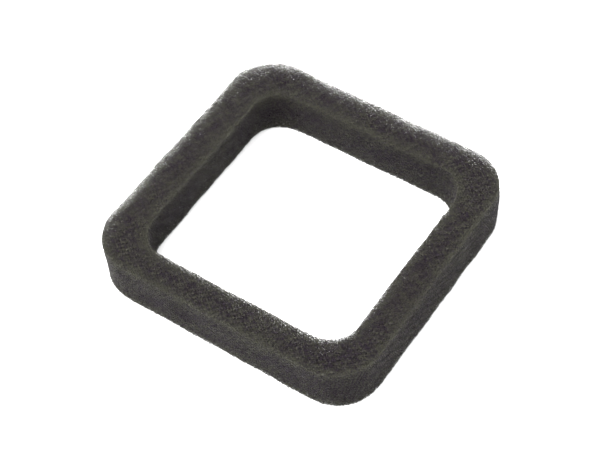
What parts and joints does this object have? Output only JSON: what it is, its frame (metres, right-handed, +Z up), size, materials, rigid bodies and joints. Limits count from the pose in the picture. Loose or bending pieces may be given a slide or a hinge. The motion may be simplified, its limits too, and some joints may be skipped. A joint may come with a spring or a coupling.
{
  "type": "foam air filter element",
  "caption": "Flat square ring of open-cell foam with rounded corners and a large central opening, a pre-cleaner for a small engine's air intake.",
  "frame": {"origin": "middle of the bottom face, on the surface that the ring rests on", "axes": "+Z up through the opening, +X along the longer side, +Y along the shorter side"},
  "size_m": [0.09, 0.087, 0.0155],
  "materials": {
    "foam": "matte"
  },
  "bodies": {
    "root": {"foam_element": "foam"}
  },
  "joints": []
}
